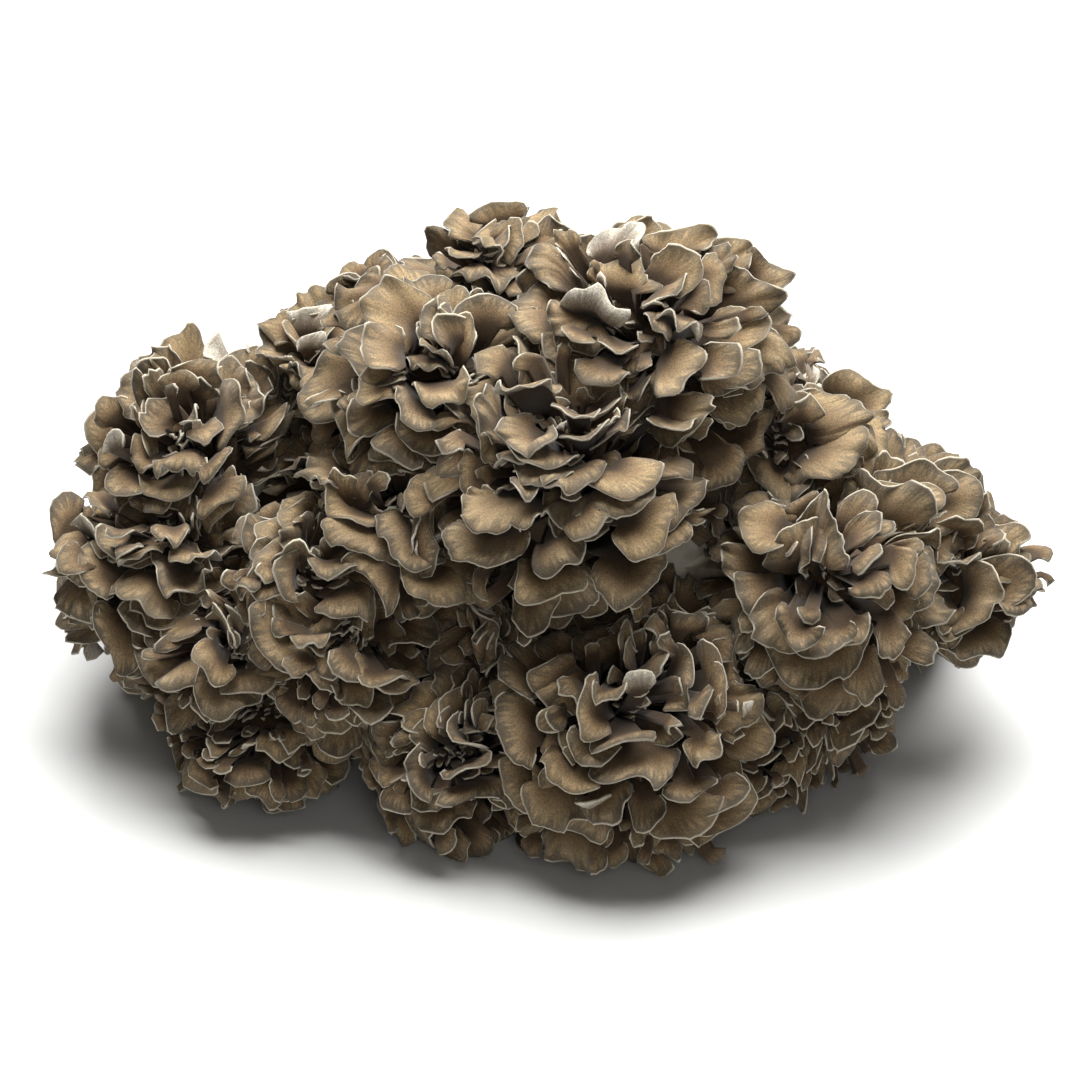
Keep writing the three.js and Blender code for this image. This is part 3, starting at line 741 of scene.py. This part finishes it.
# (rosette, heart): steps right and down in the picture, where the fan points (degrees, 90 is up),
# width (mm), uncovered (mm), and the pose of a fan that does not hang
MAIN_FANS = {
    ("crown_front", 0): (
        (530, 462, 300, 32, 12),
        (546, 486, 275, 40, 8),
        (514, 342, 215, 32, 20),
        (520, 392, 262, 30, 9),
        (572, 424, 258, 22, 14),
        (690, 424, 300, 34, 14),
        (500, 440, 200, 32, 9),
        (580, 447, 270, 24, 12),
        (442, 452, 205, 20, 16),
        (540, 470, 270, 34, 9),
        (640, 497, 305, 36, 24),
        (568, 497, 275, 30, 9),
        (492, 532, 240, 50, 26),
        (595, 535, 300, 24, 8),
        (662, 538, 310, 38, 16),
        (466, 562, 235, 40, 16),
        (556, 572, 275, 34, 20),
        (540, 600, 265, 36, 14),
        (622, 607, 290, 42, 16),
        (530, 634, 270, 32, 10),
        (612, 354, 80, 14, 16, "standing"),
    ),
    ("crown_right", 0): (
        (510, 322, 185, 34, 22),
        (738, 362, 350, 24, 14),
        (684, 384, 320, 40, 22),
        (600, 392, 265, 26, 12),
        (694, 430, 315, 40, 18),
        (730, 485, 300, 28, 16),
        (690, 232, 60, 28, 14, "skyline"),
        (622, 234, 270, 34, 22, "standing"),
        (600, 282, 270, 9, 10, "standing"),
        (764, 290, 20, 34, 18, "skyline"),
        (773, 270, 15, 30, 14, "skyline"),
        (742, 244, 45, 32, 14, "skyline"),
        (650, 222, 85, 26, 12, "skyline"),
        (788, 318, 0, 28, 12, "skyline"),
        (592, 292, 270, 38, 16, "standing"),
    ),
    ("crown_left", 0): (
        (372, 296, 140, 42, 24),
        (490, 300, 70, 24, 12),
        (440, 320, 120, 22, 9),
        (366, 352, 190, 34, 20),
        (455, 407, 280, 32, 14),
        (520, 408, 290, 32, 8),
        (352, 432, 215, 30, 16),
        (395, 460, 240, 24, 10),
    ),
    ("crown_skirt", 0): (
        (300, 478, 195, 44, 18),
        (330, 500, 200, 40, 9),
        (346, 545, 220, 44, 16),
        (400, 560, 230, 40, 10),
        (375, 590, 235, 34, 8),
        (430, 600, 245, 42, 14),
    ),
    ("crown_back", 0): (
        (480, 285, 270, 34, 10),
        (500, 202, 90, 22, 18, "skyline"),
        (560, 225, 40, 28, 16, "skyline"),
        (425, 232, 140, 24, 14, "skyline"),
    ),
    ("left_shoulder", 0): (
        (350, 270, 110, 24, 12, "skyline"),
        (315, 307, 270, 26, 14, "standing"),
        (318, 334, 270, 20, 14, "standing"),
    ),
    ("left_upper", 0): (
        (246, 398, 20, 34, 22),
        (190, 470, 265, 30, 9),
        (110, 488, 220, 26, 10),
        (236, 502, 300, 26, 20),
        (176, 504, 265, 36, 14),
        (214, 337, 270, 36, 14, "standing"),
        (244, 342, 270, 14, 16, "standing"),
        (142, 362, 120, 30, 18, "skyline"),
        (100, 400, 160, 22, 14, "skyline"),
        (82, 424, 170, 24, 12, "skyline"),
        (116, 430, 270, 20, 7, "standing"),
    ),
    ("left_outer", 0): (
        (54, 500, 180, 26, 12, "skyline"),
        (85, 500, 200, 26, 10),
        (178, 545, 280, 32, 10),
        (262, 545, 300, 24, 12),
        (200, 560, 275, 32, 8),
        (84, 572, 205, 28, 18),
        (190, 590, 280, 46, 11),
        (150, 605, 250, 34, 8),
        (160, 626, 270, 38, 12),
        (120, 668, 235, 38, 16),
        (86, 512, 270, 22, 12, "standing"),
    ),
    ("left_front", 0): (
        (300, 540, 120, 24, 9),
        (345, 575, 265, 26, 8),
        (282, 580, 200, 26, 12),
        (365, 615, 280, 28, 10),
    ),
    ("left_front", 1): (
        (440, 640, 320, 28, 14),
        (315, 643, 260, 18, 9),
        (345, 674, 250, 22, 9),
        (395, 678, 285, 22, 10),
        (400, 690, 270, 30, 12),
    ),
    ("left_lower", 0): (
        (215, 675, 260, 28, 10),
        (180, 690, 245, 34, 14),
        (270, 690, 290, 24, 10),
        (236, 714, 275, 36, 16),
    ),
    ("right_front", 0): (
        (733, 515, 160, 38, 22),
        (714, 556, 175, 28, 18),
        (730, 594, 205, 26, 14),
        (748, 638, 230, 36, 26),
        (780, 640, 250, 26, 10),
        (850, 640, 290, 26, 12),
        (818, 652, 270, 30, 24),
        (882, 656, 305, 30, 22),
        (815, 682, 270, 48, 12),
        (860, 700, 285, 30, 8),
    ),
    ("right_top", 0): (
        (800, 400, 100, 24, 10),
        (752, 420, 190, 24, 12),
        (848, 466, 310, 46, 24),
        (872, 384, 50, 30, 18, "skyline"),
    ),
    ("right_upper", 0): (
        (906, 482, 35, 46, 24),
        (925, 530, 80, 36, 20),
        (880, 560, 290, 28, 10),
    ),
    ("right_outer", 0): (
        (1030, 575, 0, 28, 14),
        (996, 590, 340, 36, 20),
        (940, 640, 250, 28, 12),
        (985, 656, 280, 40, 22),
        (966, 518, 95, 26, 12, "skyline"),
    ),
    ("bottom_front", 0): (
        (500, 672, 190, 26, 12),
        (560, 690, 230, 18, 10),
        (600, 695, 260, 20, 9),
        (575, 700, 200, 30, 12),
        (700, 700, 300, 24, 12),
        (498, 722, 190, 40, 22),
        (620, 735, 265, 24, 8),
        (766, 742, 330, 28, 14),
        (704, 752, 300, 30, 16),
        (580, 757, 255, 24, 10),
        (640, 768, 270, 36, 14),
        (560, 780, 250, 30, 9),
        (690, 790, 290, 26, 10),
        (510, 792, 225, 32, 14),
        (740, 793, 310, 24, 12),
        (610, 815, 275, 28, 9),
        (542, 818, 240, 42, 16),
        (640, 824, 275, 24, 12),
        (690, 828, 290, 34, 12),
        (520, 856, 250, 38, 14),
        (580, 862, 270, 34, 10),
        (632, 666, 270, 17, 10, "standing"),
        (745, 695, 270, 13, 4, "standing"),
        (584, 792, 270, 18, 10, "standing"),
    ),
    ("bottom_left", 0): (
        (452, 730, 220, 26, 10),
        (480, 760, 290, 22, 12),
        (410, 770, 220, 26, 12),
        (455, 798, 240, 24, 10),
        (415, 800, 235, 24, 9),
        (440, 826, 255, 30, 12),
    ),
    ("foot_left", 0): (
        (200, 790, 250, 26, 10),
        (270, 800, 270, 24, 10),
    ),
}
print(sum(len(rows) for rows in MAIN_FANS.values()), "broad fans")

# %% From the picture onto the rosettes

def undrifted(point):
    """The point that the shared drift moves to this one."""
    start = point
    for _ in range(ROUNDS):
        start = point - (drifted(start) - start)
    return start


def on_dome(rosette, right, down, share):
    """The point of a rosette's dome that is seen at a place in the picture."""
    middle = PICTURE_STEPS / 2
    seen = np.array(AIM) / MM + PICTURE_STEP * ((right - middle) * RIGHT + (middle - down) * RISE)
    nearest = seen + ((rosette.centre - seen) @ TOWARDS) * TOWARDS
    missed = np.linalg.norm(nearest - rosette.centre)
    towards = math.sqrt(max((share * rosette.reach) ** 2 - missed**2, 0))
    return undrifted(nearest + towards * TOWARDS)


def main_fan(rosette, draw, columns, right, down, points_to, width, uncovered, pose="hanging"):
    """One fan whose margin is seen at a given place and points a given way."""
    tip_tilt, share = POSES[pose]
    reached = on_dome(rosette, right, down, share) - rosette.centre
    growth, far = unit(reached), min(np.linalg.norm(reached) / rosette.reach, FURTHEST)
    heading = math.radians(points_to)
    ahead = math.cos(heading) * RIGHT + math.sin(heading) * RISE
    if pose == "skyline":
        ahead = BACKWARDS * ahead - TOWARDS
    over = unit(ahead - (ahead @ growth) * growth)
    frond = frond_at(rosette, draw, 1.0, 0.0, False, columns)
    tilt, spread = FAN_TILT, draw.uniform(*FAN_SPREAD)
    tip_tilt = math.radians(tip_tilt) + draw.uniform(-0.12, 0.12)
    length = rosette.reach * (1 - ROOT_SHARE) * far
    frond |= {
        "up": math.cos(tilt) * growth - math.sin(tilt) * over,
        "outward": math.sin(tilt) * growth + math.cos(tilt) * over,
        "aside": np.cross(growth, over),
        "yaw": 0.0,
        "length": length,
        "width": width,
        "fan": fan_length(width, spread, length),
        "spread": spread,
        "root_tilt": (tilt - TILT_REACHED * tip_tilt) / (1 - TILT_REACHED),
        "tip_tilt": tip_tilt,
        "roll": draw.gauss(0, 0.08),
        "ruffle": draw.uniform(0.6, 2.0) * width / FAN_WIDTH,
        "frills": width / draw.uniform(*FRILL_LENGTH),
        "growth": growth,
        "over": over,
        "uncovered": uncovered,
        "press": FAN_PRESS,
        "tip": rosette.centre + rosette.reach * far * growth,
    }
    points, _ = frond_surface(rosette, frond | SMOOTH, np.zeros(1), np.ones(1))
    return frond | {"shift": frond["tip"] - points[0, 0]}


def hides(tip, main):
    """Whether a frond with this tip would lie over the uncovered part of a main fan."""
    offset = tip - main["tip"]
    back, beside, above = -offset @ main["over"], offset @ main["aside"], offset @ main["growth"]
    return (
        MARGIN_BEYOND < back < min(main["uncovered"], MOST_UNCOVERED * main["fan"])
        and abs(beside) < HALF_COVERED * main["width"]
        and abs(above) < LAYER
    )


# %% [markdown]
# Between the rosettes lie hollows, which are in deep shadow and let each rosette stand out. They are not
# cut out: apart from the broad fans, no frond grows whose tip, before the drift, would lie in one.

# %% The hollows between the rosettes
# centre and radius (mm)
HOLLOWS = (
    ((-13, -75, 188), 18),
    ((8, -66, 196), 15),
    ((65, -91, 107), 20),
    ((77, -84, 120), 15),
    ((71, -64, 108), 17),
    ((82, -54, 94), 15),
    ((-105, -10, 112), 15),
    ((8, -98, 84), 14),
    ((31, -102, 86), 15),
    ((56, -100, 88), 15),
)
print(len(HOLLOWS), "hollows")


def in_hollow(tip):
    """Whether a point lies in one of the hollows."""
    return any(np.linalg.norm(tip - np.array(centre)) < radius for centre, radius in HOLLOWS)


# %% [markdown]
# The sheet gets its thickness and its rounded margin in one go. A grid is folded at the margin: its
# first rows are the upper face and its last rows the underside, each moved off the middle surface by
# half a thickness that runs down to nothing at the edge. Merging the points that then coincide closes
# the shell. A Solidify modifier would leave a square edge, and rounding it with a Bevel would double
# the faces.

# %% One frond as a closed shell
# half the thickness, and how far from the margin it is full (mm)
HALF_THICK = 0.5
EDGE_ROUND = 0.6
# the share of the way along in which the root thickens
ROOT_TAPER = 0.1
# how much of what lies past a plane is pressed back
PRESSED = 0.75
# fronds lie on the floor at different heights: a share of how far they may press, up to a limit (mm)
ABOVE_FLOOR, MOST_ABOVE = 0.15, 14.0
# where the rows lie along a frond, and how many columns it has, by grade
ALONG = {
    "broad": np.array((0, 0.3, 0.5, 0.72, 0.88, 0.965, 1.0)),
    "large": np.array((0, 0.3, 0.55, 0.8, 0.962, 1.0)),
    "middle": np.array((0, 0.3, 0.55, 0.8, 0.955, 1.0)),
    "small": np.array((0, 0.3, 0.7, 0.94, 1.0)),
}
COLUMNS = {"broad": 41, "large": 27, "middle": 13, "small": 7}


def add_frond(mesh, growth, edge, rosette, frond, grade):
    """Adds one frond to a bmesh as a folded grid."""
    across, along = np.linspace(-1, 1, COLUMNS[grade]), ALONG[grade]
    points, distance = frond_surface(rosette, frond, across, along)
    for normal, offset, press in list(zip(rosette.normals, rosette.offsets, rosette.press))[1:]:
        over = np.maximum(points @ normal - offset - press * frond["press"], 0)
        points = points - PRESSED * over[..., None] * normal
    points = drifted(points)
    lowest = HALF_THICK + ABOVE_FLOOR * min(frond["press"], MOST_ABOVE)
    points[..., 2] = lowest + np.maximum(points[..., 2] - lowest, 0)
    down = np.gradient(points, axis=0)
    sideways = np.gradient(points, axis=1)
    facing = np.cross(down, sideways)
    facing /= np.linalg.norm(facing, axis=-1, keepdims=True) + 1e-9
    roundness = np.sqrt(1 - (1 - np.minimum(distance / EDGE_ROUND, 1)) ** 2)
    half = HALF_THICK * roundness * np.minimum(along / ROOT_TAPER, 1)[:, None]
    half[-1] = 0
    half[:, 0] = 0
    half[:, -1] = 0
    upper = points + half[..., None] * facing
    lower = points - half[..., None] * facing
    rows = len(along)
    shell = np.concatenate((upper, lower[-2::-1])) * MM
    grid = bmesh.ops.create_grid(mesh, x_segments=len(across) - 1, y_segments=2 * rows - 2, size=1)
    width = across * frond["width"] / 2
    tint = frond["tint"]
    for index, vert in enumerate(grid["verts"]):
        row, column = divmod(index, len(across))
        inner = row if row < rows else 2 * rows - 2 - row
        vert.co = shell[row, column]
        vert[growth] = (width[column], along[inner], tint)
        vert[edge] = distance[inner, column] * (1 if row < rows else -1) if inner else 0.0


for grade, rows in ALONG.items():
    print(grade, "fronds have", 2 * (len(rows) - 1) * (COLUMNS[grade] - 1), "faces each")

# what a width counts for behind, and the least width of each grade (mm)
BEHIND = 0.6
LEAST_WIDTH = {"broad": 39, "large": 27, "middle": 14, "small": 0}


def grade_of(frond, behind):
    """How finely a frond is divided, from its width, and more coarsely behind."""
    width = frond["width"] * (BEHIND if behind else 1.0)
    return next(grade for grade, least in LEAST_WIDTH.items() if width > least)


# %% [markdown]
# Each rosette becomes one piece: a core in each heart, which closes the bottoms of the crevices and takes
# the dark root colour as painted shade of the crevices, and all of its fronds, rooted inside it. It stands
# for the imported rosette of the same name.

# %% Build every rosette
SEED, MAIN_SEED = 20, 100
# the core counts as this far from any edge (mm), and points nearer than this (m) are merged
CORE_DEPTH, MERGE = 30.0, 1e-7


def plan_main_fans():
    """The main fans of every heart, under its index."""
    plan = {index: [] for index in range(len(rosettes))}
    for (name, heart), rows in MAIN_FANS.items():
        index = [row[0] for row in ROSETTES].index(name) + heart
        draw = random.Random(MAIN_SEED + index)
        plan[index] = [main_fan(rosettes[index], draw, max(COLUMNS.values()), *row) for row in rows]
    return plan


main_fans = plan_main_fans()
every_main = [fan for fans in main_fans.values() for fan in fans]
print(len(every_main), "main fans")


def add_heart(mesh, growth, edge, rosette, mains, draw):
    """Adds the core and the fronds of one heart. Gives the number of fronds."""
    # painted shade: with no growth of its own the core takes the skin's dark root colour, the shade at the
    # bottom of the crevices
    core = bmesh.ops.create_icosphere(mesh, subdivisions=2, radius=rosette.reach * CORE_SHARE * MM)
    for vert in core["verts"]:
        vert.co = drifted(np.array(vert.co) / MM + rosette.centre) * MM
        vert.co.z = max(vert.co.z, FLOOR_GAP * MM)
        vert[edge] = CORE_DEPTH
    fronds = mains + grow_fronds(rosette, draw, every_main, max(COLUMNS.values()))
    for frond in fronds:
        grade = grade_of(frond, rosette.mass in ("side", "back"))
        for name in ("notch", "crinkle"):
            frond[name] = frond[name][: COLUMNS[grade]]
        add_frond(mesh, growth, edge, rosette, frond, grade)
    return len(fronds)


def build_piece(name):
    """One rosette as one object. Gives its numbers of fronds and triangles."""
    mesh = bmesh.new()
    growth = mesh.verts.layers.float_vector.new("growth")
    edge = mesh.verts.layers.float.new("edge")
    count = 0
    for index, rosette in enumerate(rosettes):
        if rosette.name == name:
            draw = random.Random(SEED + index)
            count += add_heart(mesh, growth, edge, rosette, main_fans[index], draw)
    bmesh.ops.remove_doubles(mesh, verts=mesh.verts, dist=MERGE)
    bmesh.ops.recalc_face_normals(mesh, faces=mesh.faces)
    for face in mesh.faces:
        face.smooth = True
    data = bpy.data.meshes.new(name + "_fronds")
    mesh.to_mesh(data)
    mesh.free()
    piece = bpy.data.objects.new(name + "_fronds", data)
    bpy.context.scene.collection.objects.link(piece)
    data.materials.append(SKIN)
    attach(piece, "root")
    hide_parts(name)
    return count, sum(len(polygon.vertices) - 2 for polygon in data.polygons)


totals = np.zeros(2, int)
for name in dict.fromkeys(rosette.name for rosette in rosettes):
    made = build_piece(name)
    totals += made
    print(name, made[0], "fronds,", made[1], "triangles")
print(totals[0], "fronds,", totals[1], "triangles")

# %% [markdown]
# The stem shows only in the gaps between rosettes and from below, as smooth pale flesh.

# %% Stem
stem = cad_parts["stem"]
stem.data.materials.clear()
stem.data.materials.append(flesh)
print(stem.name, "is", flesh.name)
